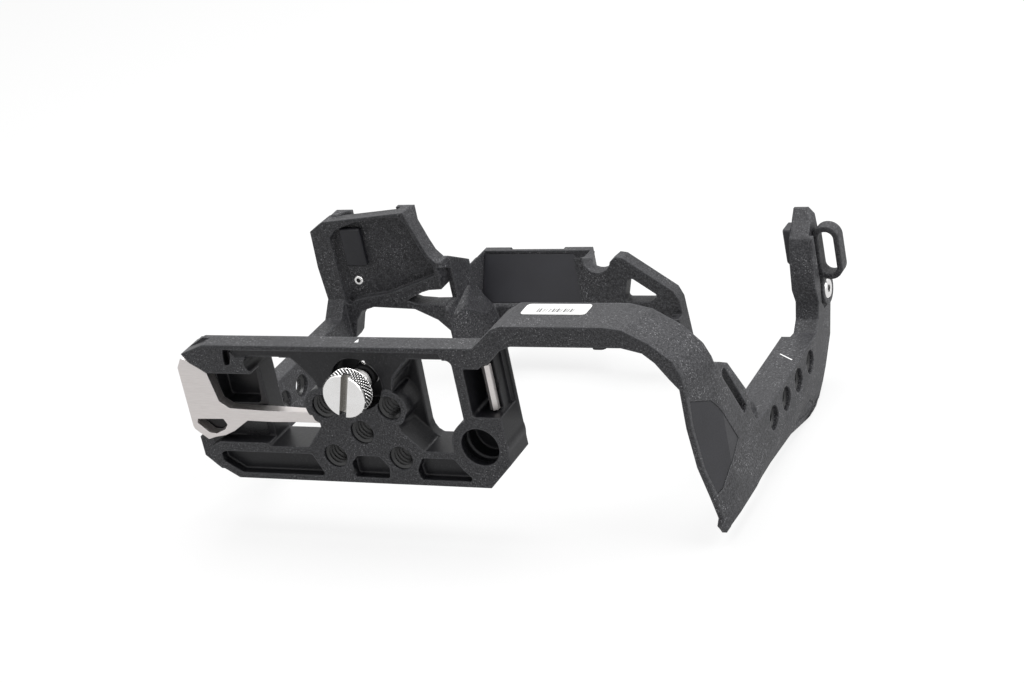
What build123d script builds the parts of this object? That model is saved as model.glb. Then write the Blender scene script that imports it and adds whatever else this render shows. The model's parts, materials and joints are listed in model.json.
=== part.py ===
from build123d import *
import os

# Camera cage for a full-frame mirrorless camera, in millimetres.
#
# The cage lies on its lens side. X runs from the strut side to the grip side, Y from the outer
# face of the bottom plate up to the hood, and Z from the lens side to the screen side.
# The origin is the centre of the middle tripod hole on the outer face of the plate.
#
# The frame is one milled part. It is modelled as sections that meet on flat faces.

# ---------------------------------------------------------------- driving dimensions
fit_gap = 0.3                # clearance round pieces that lift or slide out
seat_gap = 0.1               # clearance round inlays and pads in their pockets

# quarter inch threads
thread_radius = 3.175        # outer radius of a 1/4"-20 thread
mouth_radius = 3.5           # countersink at the mouth of each threaded hole
pattern_x = 18.6             # tripod hole pattern across X
pattern_z = 14.0             # tripod hole pattern across Z

# bottom plate
plate_thickness = 10.7
dovetail_width = 38.0        # between the two clamping edges
dovetail_land = 5.7          # flat height of a clamping edge
dovetail_undercut = 2.9      # depth of the 45 degree undercut behind it
plate_front_z = -14.3
plate_rear_z = plate_front_z + dovetail_width
block_right_x = 39.5         # right face of the block
runout_x = 35.7              # where the plate's rear edge starts to climb to the arm
bay_floor = 4.2              # depth of the tool bay's floor
bay_right_x = -28.0
bay_rear_z = plate_rear_z - 7.9
bay_front_z = -4.0
bay_left_x = -49.5
window_rear_z = plate_rear_z - 3.2
window_front_z = -4.8
window_corner = 1.6
relief_radius = 2.1          # round relief in the upper left corner of the left window
window_bevel_depth = 3.2     # bevel at the right of the left window
web_x = 11.3                 # half width of the web between the windows, at its waist
web_waist_z = 1.3
window_b_right_x = 29.4
bay_recess_depth = 4.6
detent_depth = 2.6
boss_radius = 5.0            # boss round the upper left pattern hole
pocket_depth = 2.6           # lightening pockets of the front bar
pocket_front_z = -12.8
pocket_rear_z = -6.6
socket_x = 32.2              # round socket for a quick-release pin
socket_z = -3.0
socket_radius = 5.1
socket_depth = 8.4
socket_boss_radius = 7.5
socket_groove_radius = 5.6
key_pocket_left_x = 32.0
key_pocket_front_z = 5.2
key_pocket_rear_z = 18.3
key_pocket_depth = 9.2
foot_left_x = -51.5          # foot under the left strut

# camera screw
screw_x = 1.6
screw_z = plate_rear_z - 10.3
screw_head_radius = 6.0
screw_head_height = 4.4
screw_head_proud = 6.4       # head stands above the plate at rest
screw_recess_radius = 7.0
screw_recess_depth = 7.2
screw_neck_radius = 2.4
screw_neck_length = 4.4
screw_thread_length = 6.0
screw_slot_width = 1.9
screw_slot_depth = 1.8
screw_slot_angle = -16.6     # where the slot happens to point, from the Z direction
screw_hole_clearance = 0.1   # round the thread, where it slides through the recess floor
ring_radius = 4.2
ring_thickness = 0.8

# flat driver and hex key
driver_top = 1.0             # depth of the driver's outer face
driver_tip_x = -12.2         # front corner of the driver's slanted tip
driver_tip_z = 1.4
driver_tip_slant = 1.1       # the rear corner of the tip lies this far back
driver_tip_width = 2.9
driver_thickness = bay_floor - fit_gap - driver_top
magnet_x = -33.5
magnet_z = -1.5
magnet_length = 7.0
magnet_width = 4.6
magnet_depth = 2.5
key_across_flats = 2.0
key_x = 36.5
key_y = 4.0
key_magnet_radius = 1.3
key_magnet_depth = 1.8

# rear arm
arm_height = 13.0
arm_rear_z = 29.7
arm_thickness = 5.2
arm_end_z = 14.0             # flat face towards the palm plate

# palm plate, side rail and finger
side_foot_inner_x = 86.9     # the side wall leans out from its foot ...
side_foot_outer_x = 88.2
side_inner_x = 87.0          # ... to its full height
side_outer_x = 91.0
side_lean_height = 13.0
palm_rail_y = 39.0           # flat face between palm plate and rail
inlay_thickness = 0.7
strap_slot_width = 2.6
strap_slot_length = 19.0
tab_web_thickness = 1.8      # thin web in the corner between tab and rail
rail_inner_x = 82.1
rail_wall = 5.2
rail_flange = 4.0
rail_rear_z = -12.0
rail_top_y = 78.5
rail_hole_y = 43.3
rail_hole_z = -16.6
rail_hole_pitch = 10.0
rail_hole_count = 4
wall_front_z = -27.4         # front edge of palm plate and rail
front_bevel = 1.6            # bevel along that edge
finger_inner_x = 84.5
finger_end_z = 17.2
finger_bevel = 2.6
lug_seat_x = 89.7            # floor of the seat milled for the strap lug

# strap lug
lug_screw_y = 94.0
lug_screw_z = -5.4
lug_screw_radius = 1.5
lug_head_radius = 2.7
lug_head_height = 1.1
lug_head_sunk = 0.9          # depth of the head's seat in the foot
lug_foot_radius = 4.1
lug_foot_thickness = 1.4
lug_ring_front_z = -1.4
lug_ring_rear_z = 13.5
lug_ring_width = 7.2
lug_ring_bar = 1.5
lug_ring_depth = 3.8
lug_screw_length = 4.5       # length of thread in the finger

# left strut
strut_outer_x = -52.6
strut_inner_x = -47.4
strut_hole_y = 39.0
strut_hole_z = -13.5
strut_hole_pitch = 9.5

# left shoulder, with the cold shoe
deck_bottom_y = 79.2         # lower rim of the shoulder
deck_pocket = 2.0            # depth of the milled pocket in its underside
shoe_floor_y = 83.0
shoe_slot_height = 2.1
shoe_lip_thickness = 1.5
shoe_width = 18.8
shoe_gap = 13.6
shoe_x = -34.8
shoe_front_z = 4.4           # front ends of the shoe's rails
shoe_rear_z = 23.0
shoe_stop_z = 5.5            # front end of its channel
shoe_rail_width = 5.2
shoulder_screw_x = -42.3
shoulder_screw_z = 3.0
shoulder_screw_radius = 1.4
shoulder_screw_length = 2.4

# hood
hood_left_x = -12.6          # inner faces of the hood's side walls
hood_right_x = 20.6
hood_wall = 2.8
hood_top_y = 107.0
hood_rear_z = 2.2
hood_rear_y = 104.5
hood_front_z = -23.0
hood_front_y = 98.5
hood_flange_y = 94.0
pad_thickness = 1.0

# front wing
wing_bottom_y = 91.0
wing_thickness = 4.0
wing_lip_y = 88.0
wing_lip_thickness = 3.0


# ---------------------------------------------------------------- helpers
def facing_down(y):
    """Sketch plane parallel to the bottom plate at height y: X to the right, Z up."""
    return Plane.XZ.offset(-y)


def facing_side(x):
    """Sketch plane parallel to the side wall at x: Y to the right, Z up."""
    return Plane.YZ.offset(x)


def prism(plane, corners, depth, mode=Mode.ADD, radius=0.0):
    """Extrude a polygon from a plane. With a radius its corners are rounded."""
    with BuildSketch(plane) as profile:
        Polygon(*corners, align=None)
        if radius:
            fillet(profile.vertices(), radius)
    extrude(profile.sketch, amount=depth, mode=mode)


def round_prism(plane, center, radius, depth, mode=Mode.ADD):
    """Extrude a circle from a plane."""
    with BuildSketch(plane) as profile:
        with Locations(center):
            Circle(radius)
    extrude(profile.sketch, amount=depth, mode=mode)


def threaded_hole(plane, center, depth, countersunk=True):
    """Cut a hole of the thread's outer size against the plane's normal."""
    round_prism(plane, center, thread_radius, -depth, Mode.SUBTRACT)
    if not countersunk:
        return
    sink = mouth_radius - thread_radius
    with BuildSketch(plane) as mouth:
        with Locations(center):
            Circle(mouth_radius)
    with BuildSketch(plane.offset(-sink)) as throat:
        with Locations(center):
            Circle(thread_radius)
    loft([mouth.sketch, throat.sketch], mode=Mode.SUBTRACT)


def undercut_runout():
    """Cut the dovetail's undercut where it runs out along the climb from the plate to the arm."""
    reach = 30.0
    climb = Vector(8.5, arm_height - dovetail_land, arm_rear_z - plate_rear_z)
    with BuildSketch(facing_side(runout_x)) as profile:
        Polygon(
            (dovetail_land, plate_rear_z),
            (dovetail_land + dovetail_undercut, plate_rear_z - dovetail_undercut),
            (reach, plate_rear_z - dovetail_undercut),
            (reach, plate_rear_z + reach),
            (dovetail_land, plate_rear_z + reach),
            align=None,
        )
    extrude(profile.sketch, amount=climb.length, dir=climb, mode=Mode.SUBTRACT)


# ---------------------------------------------------------------- base plate
pattern_holes = [
    (side * pattern_x / 2, row * pattern_z / 2) for side in (-1, 1) for row in (-1, 1)
] + [(0.0, 0.0)]
block_rear_z = 26.9
block_chamfer = 6.6

with BuildPart() as base_plate:
    # outer layer: rear bar, front bar and block, open at the left for the tool
    with BuildSketch(facing_down(0)):
        Polygon(
            (-40.2, plate_rear_z),
            (runout_x, plate_rear_z),
            (block_right_x, block_rear_z),
            (block_right_x, plate_front_z + block_chamfer),
            (block_right_x - block_chamfer, plate_front_z),
            (-39.5, plate_front_z),
            (-46.1, -10.1),
            (-46.9, -7.3),
            (-46.3, -5.8),
            (-42.8, bay_front_z),
            (bay_right_x, bay_front_z),
            (bay_right_x, bay_rear_z),
            (-41.0, bay_rear_z),
            (-45.5, plate_rear_z - 5.1),
            (-47.3, plate_rear_z - 2.6),
            align=None,
        )
    extrude(amount=-plate_thickness)
    # inner layer: bay floor and the foot of the left strut
    with BuildSketch(facing_down(bay_floor)):
        Polygon(
            (-42.5, plate_rear_z),
            (bay_right_x, plate_rear_z),
            (bay_right_x, plate_front_z),
            (-47.5, plate_front_z),
            (foot_left_x, -10.5),
            (foot_left_x, -5.0),
            (bay_left_x, bay_front_z),
            (bay_left_x, plate_rear_z - 6.2),
            (-47.3, plate_rear_z - 2.6),
            align=None,
        )
    extrude(amount=bay_floor - plate_thickness)
    # bevelled corner of the rear bar
    tip_plane = Plane(origin=(-40.2, 0, plate_rear_z), z_dir=(-0.335, -0.225, 0.915))
    split(bisect_by=tip_plane, keep=Keep.BOTTOM)
    # windows each side of the web
    prism(
        facing_down(0),
        [
            (bay_right_x, window_rear_z),
            (-20.3, window_rear_z),
            (-23.2, window_rear_z - 5.2),
            (-22.0, window_rear_z - 8.9),
            (-15.4, 6.4),
            (-web_x, 4.6),
            (-web_x, web_waist_z),
            (-web_x - 5.2, window_front_z),
            (bay_right_x, window_front_z),
        ],
        -plate_thickness,
        Mode.SUBTRACT,
        window_corner / 4,
    )
    round_prism(
        facing_down(0),
        (bay_right_x - 1.5 + relief_radius, window_rear_z - relief_radius),
        relief_radius,
        -plate_thickness,
        Mode.SUBTRACT,
    )
    # wide bevel at the right of the left window
    bevel_mouth = [(-26.0, 0.0), (-18.5, 0.0), (-17.3, -1.9), (-17.4, -4.1), (-18.8, -6.3),
                   (-22.0, -8.9), (-26.0, -8.9)]
    bevel_root = [(-26.0, 0.0), (-20.3, 0.0), (-21.3, -1.7), (-22.3, -3.4), (-23.2, -5.2),
                  (-22.4, -8.9), (-26.0, -8.9)]
    with BuildSketch(facing_down(0)) as mouth_sketch:
        Polygon(*[(x, window_rear_z + z) for x, z in bevel_mouth], align=None)
    with BuildSketch(facing_down(window_bevel_depth)) as root_sketch:
        Polygon(*[(x, window_rear_z + z) for x, z in bevel_root], align=None)
    loft([mouth_sketch.sketch, root_sketch.sketch], ruled=True, mode=Mode.SUBTRACT)
    # right window, with a lobe of the web standing into it
    with BuildSketch(facing_down(0)) as right_window:
        Polygon(
            (17.2, window_rear_z),
            (window_b_right_x, window_rear_z),
            (window_b_right_x, window_front_z),
            (web_x + 5.2, window_front_z),
            (web_x - 0.2, 0.8),
            (13.8, 5.6),
            (18.9, 10.8),
            (19.5, 12.6),
            (17.6, window_rear_z - 6.0),
            (13.4, window_rear_z - 5.9),
            (13.2, window_rear_z - 4.6),
            align=None,
        )
        fillet(right_window.vertices().group_by(Axis.X)[-1], window_corner)
    extrude(right_window.sketch, amount=-plate_thickness, mode=Mode.SUBTRACT)
    round_prism(
        facing_down(0), (-pattern_x / 2, pattern_z / 2), boss_radius, -plate_thickness
    )
    round_prism(facing_down(0), (socket_x, socket_z), socket_boss_radius, -plate_thickness)
    # notch in the boss for the driver's tip
    prism(
        facing_down(0),
        [
            (driver_tip_x - boss_radius, driver_tip_z - fit_gap),
            (driver_tip_x + fit_gap, driver_tip_z - fit_gap),
            (
                driver_tip_x - driver_tip_slant + fit_gap,
                driver_tip_z + driver_tip_width + fit_gap,
            ),
            (driver_tip_x - boss_radius, driver_tip_z + driver_tip_width + 2 * fit_gap),
        ],
        -bay_floor,
        Mode.SUBTRACT,
    )
    # dovetail undercuts behind both clamping edges
    for edge_z, inward in ((plate_rear_z, -1), (plate_front_z, 1)):
        prism(
            facing_side(-60),
            [
                (dovetail_land, edge_z),
                (dovetail_land + dovetail_undercut, edge_z + inward * dovetail_undercut),
                (plate_thickness + 1, edge_z + inward * dovetail_undercut),
                (plate_thickness + 1, edge_z - inward),
                (dovetail_land, edge_z - inward),
            ],
            60 + runout_x,
            Mode.SUBTRACT,
        )
    undercut_runout()
    # lightening pockets of the front bar
    pockets = [
        [(-43.2, -7.2), (-41.6, pocket_rear_z), (-16.0, pocket_rear_z), (-13.2, pocket_front_z),
         (-38.3, pocket_front_z), (-43.2, -9.6)],
        [(-5.0, -8.8), (-2.9, pocket_rear_z), (3.3, pocket_rear_z), (5.6, -9.6),
         (5.0, pocket_front_z), (-5.0, pocket_front_z)],
        [(13.4, -10.1), (15.4, pocket_rear_z), (24.2, pocket_rear_z), (26.6, -10.0),
         (29.3, pocket_front_z), (13.8, pocket_front_z)],
    ]
    for corners in pockets:
        prism(facing_down(0), corners, -pocket_depth, Mode.SUBTRACT, 0.9)
    # deep recess and detent slot of the tool bay
    recess_right_x = bay_right_x - 0.9
    prism(
        facing_down(bay_floor),
        [(-41.4, 5.4), (recess_right_x - 1.0, 5.4), (recess_right_x, bay_rear_z),
         (-41.4, bay_rear_z)],
        -bay_recess_depth,
        Mode.SUBTRACT,
        1.2,
    )
    prism(
        facing_down(0),
        [(-35.2, plate_rear_z - 5.8), (-33.5, plate_rear_z - 5.4), (-32.7, plate_rear_z - 3.2),
         (-32.5, plate_rear_z - 1.2), (-34.6, plate_rear_z - 1.2), (-35.0, plate_rear_z - 3.4)],
        -detent_depth,
        Mode.SUBTRACT,
        0.4,
    )
    # seat of the driver's magnet
    prism(
        facing_down(bay_floor),
        [
            (magnet_x - magnet_length / 2 - seat_gap, magnet_z - magnet_width / 2 - seat_gap),
            (magnet_x + magnet_length / 2 + seat_gap, magnet_z - magnet_width / 2 - seat_gap),
            (magnet_x + magnet_length / 2 + seat_gap, magnet_z + magnet_width / 2 + seat_gap),
            (magnet_x - magnet_length / 2 - seat_gap, magnet_z + magnet_width / 2 + seat_gap),
        ],
        -magnet_depth,
        Mode.SUBTRACT,
    )
    # key pocket, open to the outer face and to the right, with the rib that backs the key
    rib_front_y = key_y + key_across_flats / 2 + fit_gap
    prism(
        facing_down(0),
        [
            (key_pocket_left_x, key_pocket_front_z),
            (block_right_x + 2, key_pocket_front_z),
            (block_right_x + 2, key_pocket_rear_z + 2.4),
            (block_right_x - 1.5, key_pocket_rear_z + 1.2),
            (block_right_x - 3.2, key_pocket_rear_z),
            (key_pocket_left_x, key_pocket_rear_z),
        ],
        -key_pocket_depth,
        Mode.SUBTRACT,
        0.9,
    )
    prism(
        facing_down(rib_front_y),
        [
            (key_x - 1.7, key_pocket_front_z - 1),
            (key_x + 1.7, key_pocket_front_z - 1),
            (key_x + 1.7, key_pocket_rear_z + 0.5),
            (key_x - 1.7, key_pocket_rear_z + 0.5),
        ],
        rib_front_y - plate_thickness,
    )
    key_magnet_z = (key_pocket_front_z + key_pocket_rear_z) / 2
    round_prism(
        facing_down(rib_front_y),
        (key_x, key_magnet_z),
        key_magnet_radius + seat_gap,
        -key_magnet_depth,
        Mode.SUBTRACT,
    )
    # quick-release socket with its latch groove
    round_prism(
        facing_down(0), (socket_x, socket_z), socket_radius, -socket_depth, Mode.SUBTRACT
    )
    round_prism(
        facing_down(2.4), (socket_x, socket_z), socket_groove_radius, -2.2, Mode.SUBTRACT
    )
    # screw recess, its floor hole and the tripod holes
    round_prism(
        facing_down(0), (screw_x, screw_z), screw_recess_radius, -screw_recess_depth, Mode.SUBTRACT
    )
    round_prism(
        facing_down(0),
        (screw_x, screw_z),
        thread_radius + screw_hole_clearance,
        -plate_thickness,
        Mode.SUBTRACT,
    )
    for center in pattern_holes:
        threaded_hole(facing_down(0), center, plate_thickness)

# ---------------------------------------------------------------- rear arm
arm_inner_z = arm_rear_z - arm_thickness
arm_foot_profile = [
    (block_right_x, 20.2),
    (block_right_x, block_rear_z),
    (41.6, 28.7),
    (44.4, arm_rear_z),
    (70.6, arm_rear_z),
    (75.1, arm_rear_z - 0.6),
    (81.4, 25.6),
    (86.4, 21.2),
    (88.0, 17.2),
    (side_foot_outer_x, arm_end_z),
    (side_foot_inner_x, arm_end_z),
    (84.9, 16.6),
    (82.0, 20.8),
    (79.3, 23.2),
    (74.3, arm_inner_z),
    (46.0, arm_inner_z),
    (42.7, 23.2),
]
arm_top_profile = [
    (block_right_x, 20.2),
    (block_right_x, block_rear_z),
    (41.6, 28.7),
    (44.4, arm_rear_z),
    (72.4, arm_rear_z),
    (78.0, arm_rear_z - 1.4),
    (84.8, 24.1),
    (89.0, 19.6),
    (90.5, 16.2),
    (side_outer_x, arm_end_z),
    (side_inner_x, arm_end_z),
    (86.4, 16.8),
    (83.8, 20.8),
    (80.8, 23.4),
    (75.8, arm_inner_z),
    (46.0, arm_inner_z),
    (42.7, 23.2),
]

with BuildPart() as rear_arm:
    with BuildSketch(facing_down(0)):
        Polygon(*arm_foot_profile, align=None)
    with BuildSketch(facing_down(arm_height)):
        Polygon(*arm_top_profile, align=None)
    loft(ruled=True)
    undercut_runout()

# ---------------------------------------------------------------- palm plate
palm_tip_z = wall_front_z - 0.6
palm_tip_y = 6.6
side_wall_section = [
    (side_foot_inner_x, 0),
    (side_foot_outer_x, 0),
    (side_outer_x, side_lean_height),
    (side_outer_x, 60),
    (side_inner_x, 60),
    (side_inner_x, side_lean_height),
    (side_inner_x + 1.2, side_lean_height - 4.0),
    (side_inner_x + 1.2, side_lean_height - 7.0),
]
palm_outline = [
    (0, arm_end_z),
    (arm_height, arm_end_z),
    (15.6, 13.3),
    (20.2, 10.7),
    (28.4, -0.4),
    (29.7, -3.5),
    (29.7, -7.0),
    (32.4, -11.6),
    (palm_rail_y, rail_rear_z),
    (palm_rail_y, wall_front_z),
    (11.6, wall_front_z),
    (9.4, wall_front_z - 0.4),
    (palm_tip_y, wall_front_z - 0.3),
    (5.0, wall_front_z + 2.4),
    (6.0, -23.4),
    (4.4, -17.4),
    (1.4, -7.2),
    (0, 4.0),
]
inlay_outline = [
    (1.3, 10.2),
    (9.1, 6.4),
    (11.5, 3.5),
    (19.2, -9.0),
    (12.0, -12.7),
    (7.8, -16.2),
    (5.6, -16.4),
    (2.6, -7.9),
    (1.1, 3.6),
]
tab_web_outline = [
    (28.0, -0.6),
    (30.9, -2.9),
    (37.3, -9.0),
    (palm_rail_y, rail_rear_z - 0.6),
    (palm_rail_y, rail_rear_z - 3.0),
    (28.4, -8.0),
]


def wall_band(outer_inset, inner_inset, outline, margin=0.0):
    """A layer of the leaning side wall between two depths below its outer face, cut to an outline."""
    section = [
        (side_foot_outer_x - inner_inset, 0),
        (side_foot_outer_x - outer_inset, 0),
        (side_outer_x - outer_inset, side_lean_height),
        (side_outer_x - outer_inset, 60),
        (side_outer_x - inner_inset, 60),
        (side_outer_x - inner_inset, side_lean_height),
    ]
    with BuildPart() as band:
        prism(Plane.XY.offset(palm_tip_z - 1), section, 60)
        with BuildSketch(facing_side(80)) as limits:
            Polygon(*outline, align=None)
            offset(amount=margin)
        extrude(limits.sketch, amount=20, mode=Mode.INTERSECT)
    return band.part


with BuildPart() as palm_plate:
    with BuildSketch(Plane.XY.offset(palm_tip_z - 1)):
        Polygon(*side_wall_section, align=None)
    extrude(amount=arm_end_z - palm_tip_z + 1)
    prism(facing_side(80), palm_outline, 20, Mode.INTERSECT)
    # bevel along the front edge, fading out on the leaning part
    prism(
        facing_down(palm_rail_y),
        [
            (side_outer_x - front_bevel, wall_front_z),
            (side_outer_x, wall_front_z + front_bevel),
            (side_outer_x + 1, wall_front_z + front_bevel),
            (side_outer_x + 1, wall_front_z - 1),
            (side_outer_x - front_bevel, wall_front_z - 1),
        ],
        palm_rail_y,
        Mode.SUBTRACT,
    )
    prism(facing_side(side_inner_x), tab_web_outline, tab_web_thickness)
    # strap slot, parallel to the tab's edge
    with BuildSketch(facing_side(80)) as strap_slot:
        with Locations(Location((21.7, 2.5), -57.7)):
            SlotOverall(strap_slot_length, strap_slot_width)
    extrude(strap_slot.sketch, amount=20, mode=Mode.SUBTRACT)
    # pocket of the inlay
    add(
        wall_band(-1.0, inlay_thickness + seat_gap, inlay_outline, seat_gap),
        mode=Mode.SUBTRACT,
    )

with BuildPart() as palm_inlay:
    add(wall_band(seat_gap, inlay_thickness, inlay_outline))

# ---------------------------------------------------------------- side rail
rail_bulge_z = -31.0
rail_front_z = -30.0         # where the rail's front edge meets the finger
rail_section = [
    (rail_inner_x, rail_rear_z),
    (side_outer_x, rail_rear_z),
    (side_outer_x, rail_bulge_z),
    (side_outer_x - rail_wall, rail_bulge_z),
    (side_outer_x - rail_wall, rail_rear_z - rail_flange),
    (rail_inner_x, rail_rear_z - rail_flange),
]
rail_outline = [
    (palm_rail_y, rail_rear_z),
    (rail_top_y, rail_rear_z),
    (rail_top_y, rail_front_z),
    (75.4, rail_bulge_z),
    (69.0, rail_bulge_z),
    (55.0, -28.2),
    (palm_rail_y, wall_front_z),
]
# the outer side leans in towards the front, beyond a line from the rail up the finger
flank_plane = Plane(origin=(side_outer_x, 65.7, -25.5), z_dir=(1.0, 0.074, -0.071))

with BuildPart() as side_rail:
    with BuildSketch(facing_down(palm_rail_y)):
        Polygon(*rail_section, align=None)
    extrude(amount=palm_rail_y - rail_top_y)
    prism(facing_side(80), rail_outline, 20, Mode.INTERSECT)
    outer_edges = side_rail.faces().sort_by(Axis.X)[-1].edges()
    front_edges = outer_edges.filter_by_position(Axis.Z, rail_bulge_z - 1, wall_front_z + 0.1)
    chamfer(front_edges.sort_by(Axis.Y)[:4], front_bevel)
    split(bisect_by=flank_plane, keep=Keep.BOTTOM)
    # shallow scallop in the bulge of the front edge
    prism(
        facing_side(side_outer_x),
        [(56.0, -26.6), (62.0, -25.4), (70.4, -26.0), (74.2, -28.8), (68.4, -28.9)],
        -1.2,
        Mode.SUBTRACT,
        0.5,
    )
    for hole in range(rail_hole_count):
        threaded_hole(
            facing_side(side_outer_x),
            (rail_hole_y + hole * rail_hole_pitch, rail_hole_z),
            rail_wall,
            countersunk=False,
        )

# ---------------------------------------------------------------- grip finger
with BuildPart() as grip_finger:
    with BuildSketch(facing_side(finger_inner_x)) as finger_outline:
        Polygon(
            (rail_top_y, rail_rear_z),
            (rail_top_y, rail_front_z),
            (84.0, -27.8),
            (88.4, -25.2),
            (95.4, -19.4),
            (98.6, -10.0),
            (98.4, -3.0),
            (97.0, 8.0),
            (95.8, finger_end_z),
            (93.0, finger_end_z),
            (92.3, 14.7),
            (88.3, 11.7),
            (86.0, 5.6),
            (84.7, -1.6),
            (86.1, -5.6),
            (84.3, -9.8),
            (81.3, -12.3),
            align=None,
        )
    extrude(amount=side_outer_x - finger_inner_x)
    end_edges = grip_finger.edges().filter_by(Axis.Y).group_by(Axis.Z)[-1]
    chamfer(end_edges.sort_by(Axis.X)[-1], finger_bevel)
    split(bisect_by=flank_plane, keep=Keep.BOTTOM)
    # seat of the strap lug, open towards the hood side
    prism(
        facing_side(side_outer_x),
        [(89.0, 14.4), (100.0, 14.4), (100.0, -10.2), (91.4, -10.2), (88.9, -7.0)],
        lug_seat_x - side_outer_x,
        Mode.SUBTRACT,
    )
    round_prism(
        facing_side(lug_seat_x),
        (lug_screw_y, lug_screw_z),
        lug_screw_radius,
        -lug_screw_length,
        Mode.SUBTRACT,
    )

# ---------------------------------------------------------------- left strut
strut_neck_y = 66.0
with BuildPart() as left_strut:
    prism(
        facing_side(strut_outer_x),
        [
            (plate_thickness, -4.6),
            (plate_thickness, plate_front_z + dovetail_undercut),
            (26.0, -21.0),
            (strut_neck_y, -21.0),
            (deck_bottom_y, -15.0),
            (deck_bottom_y, -2.0),
            (75.2, -6.6),
            (20.0, -6.6),
        ],
        strut_inner_x - strut_outer_x,
    )
    # the foot narrows towards the plate's own left end
    prism(
        Plane.XY.offset(-30),
        [
            (strut_outer_x - 1, plate_thickness),
            (foot_left_x, plate_thickness),
            (strut_outer_x, 16.0),
            (strut_outer_x - 1, 16.0),
        ],
        40,
        Mode.SUBTRACT,
    )
    # thinner wall round the threaded holes, on the outer side
    prism(
        facing_side(strut_outer_x),
        [(28.0, -20.0), (60.0, -20.0), (64.0, -16.0), (64.0, -8.0), (28.0, -8.0)],
        1.6,
        Mode.SUBTRACT,
        1.5,
    )
    for hole in range(2):
        threaded_hole(
            facing_side(strut_inner_x),
            (strut_hole_y + hole * strut_hole_pitch, strut_hole_z),
            strut_inner_x - strut_outer_x,
            countersunk=False,
        )

# ---------------------------------------------------------------- left shoulder
shoulder_right_x = hood_left_x - hood_wall
shoe_lip_y = shoe_floor_y + shoe_slot_height
shoe_top_y = shoe_lip_y + shoe_lip_thickness
shoulder_top_y = shoe_floor_y + 1.2
shoulder_outline = [
    (-48.6, 21.8),
    (-22.3, 24.3),
    (-18.6, 14.4),
    (-17.2, 11.2),
    (shoulder_right_x, 9.2),
    (shoulder_right_x, -11.6),
    (-18.6, -8.3),
    (-25.2, -5.0),
    (-38.2, -4.4),
    (-42.4, -5.7),
    (-44.6, -8.6),
    (-46.2, -13.6),
    (strut_inner_x, -15.0),
    (strut_outer_x, -15.0),
    (strut_outer_x, -2.0),
    (-53.4, 8.0),
    (-53.1, 19.0),
]
shoulder_pocket = [
    (-47.4, 16.8),
    (-45.0, 19.4),
    (-38.0, 21.8),
    (-30.0, 22.9),
    (-23.8, 22.9),
    (-22.2, 20.8),
    (-19.6, 13.6),
    (-18.2, 10.6),
    (-16.5, 8.2),
    (-16.5, 5.4),
    (-22.0, 3.4),
    (-27.1, 1.6),
    (-33.0, -0.4),
    (-40.1, -1.4),
    (-44.0, -2.4),
    (-47.0, -5.2),
]

with BuildPart() as left_shoulder:
    with BuildSketch(facing_down(deck_bottom_y)) as shoulder_sketch:
        Polygon(*shoulder_outline, align=None)
    extrude(amount=deck_bottom_y - shoulder_top_y)
    # rails of the cold shoe
    for side in (-1, 1):
        rail_center = shoe_x + side * (shoe_width / 2 + 0.6)
        prism(
            facing_down(shoe_floor_y),
            [
                (rail_center - shoe_rail_width / 2, shoe_front_z),
                (rail_center + shoe_rail_width / 2, shoe_front_z),
                (rail_center + shoe_rail_width / 2, shoe_rear_z + side * 0.6),
                (rail_center - shoe_rail_width / 2, shoe_rear_z + side * 0.6),
            ],
            shoe_floor_y - shoe_top_y,
        )
    # the channel and the slot under its lips, open to the rear
    prism(
        facing_down(shoe_floor_y),
        [
            (shoe_x - shoe_gap / 2, shoe_stop_z),
            (shoe_x + shoe_gap / 2, shoe_stop_z),
            (shoe_x + shoe_gap / 2, 30),
            (shoe_x - shoe_gap / 2, 30),
        ],
        shoe_floor_y - shoe_top_y - 1,
        Mode.SUBTRACT,
    )
    prism(
        facing_down(shoe_floor_y),
        [
            (shoe_x - shoe_width / 2, shoe_stop_z),
            (shoe_x + shoe_width / 2, shoe_stop_z),
            (shoe_x + shoe_width / 2, 30),
            (shoe_x - shoe_width / 2, 30),
        ],
        shoe_floor_y - shoe_lip_y,
        Mode.SUBTRACT,
    )
    # milled pocket in the underside and the gap behind the front bar
    prism(facing_down(deck_bottom_y), shoulder_pocket, -deck_pocket, Mode.SUBTRACT, 1.2)
    prism(
        facing_down(deck_bottom_y),
        [(-27.2, -2.3), (-21.8, 0.2), (-19.4, 0.9), (-14.8, 1.2), (-14.8, -3.6), (-19.5, -3.7),
         (-24.6, -3.3)],
        deck_bottom_y - shoulder_top_y - 1,
        Mode.SUBTRACT,
    )
    round_prism(
        facing_down(deck_bottom_y + deck_pocket),
        (shoulder_screw_x, shoulder_screw_z),
        shoulder_screw_radius,
        -shoulder_screw_length,
        Mode.SUBTRACT,
    )

# ---------------------------------------------------------------- hump hood
pad_rear = Vector(102.2, 1.2)            # rear end of the pad's surface, as (Y, Z)
pad_front = Vector(hood_flange_y + 0.8, -10.6)
pad_run = (pad_rear - pad_front).normalized()
pad_normal = Vector(pad_run.Y, -pad_run.X)
slope_rear = pad_rear + pad_normal * pad_thickness
slope_front = pad_front + pad_normal * pad_thickness
hood_left_outer_x = hood_left_x - hood_wall
hood_right_outer_x = hood_right_x + hood_wall
wing_left_x = hood_right_outer_x + 7.6
wing_top_y = wing_bottom_y + wing_thickness
dip_center = (27.2, 4.6)     # round dip between hood and wing
dip_radius = 4.1
pad_corner_run = 5.6         # the pad's rear right corner is cut off
pad_corner_drop = 5.0

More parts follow.
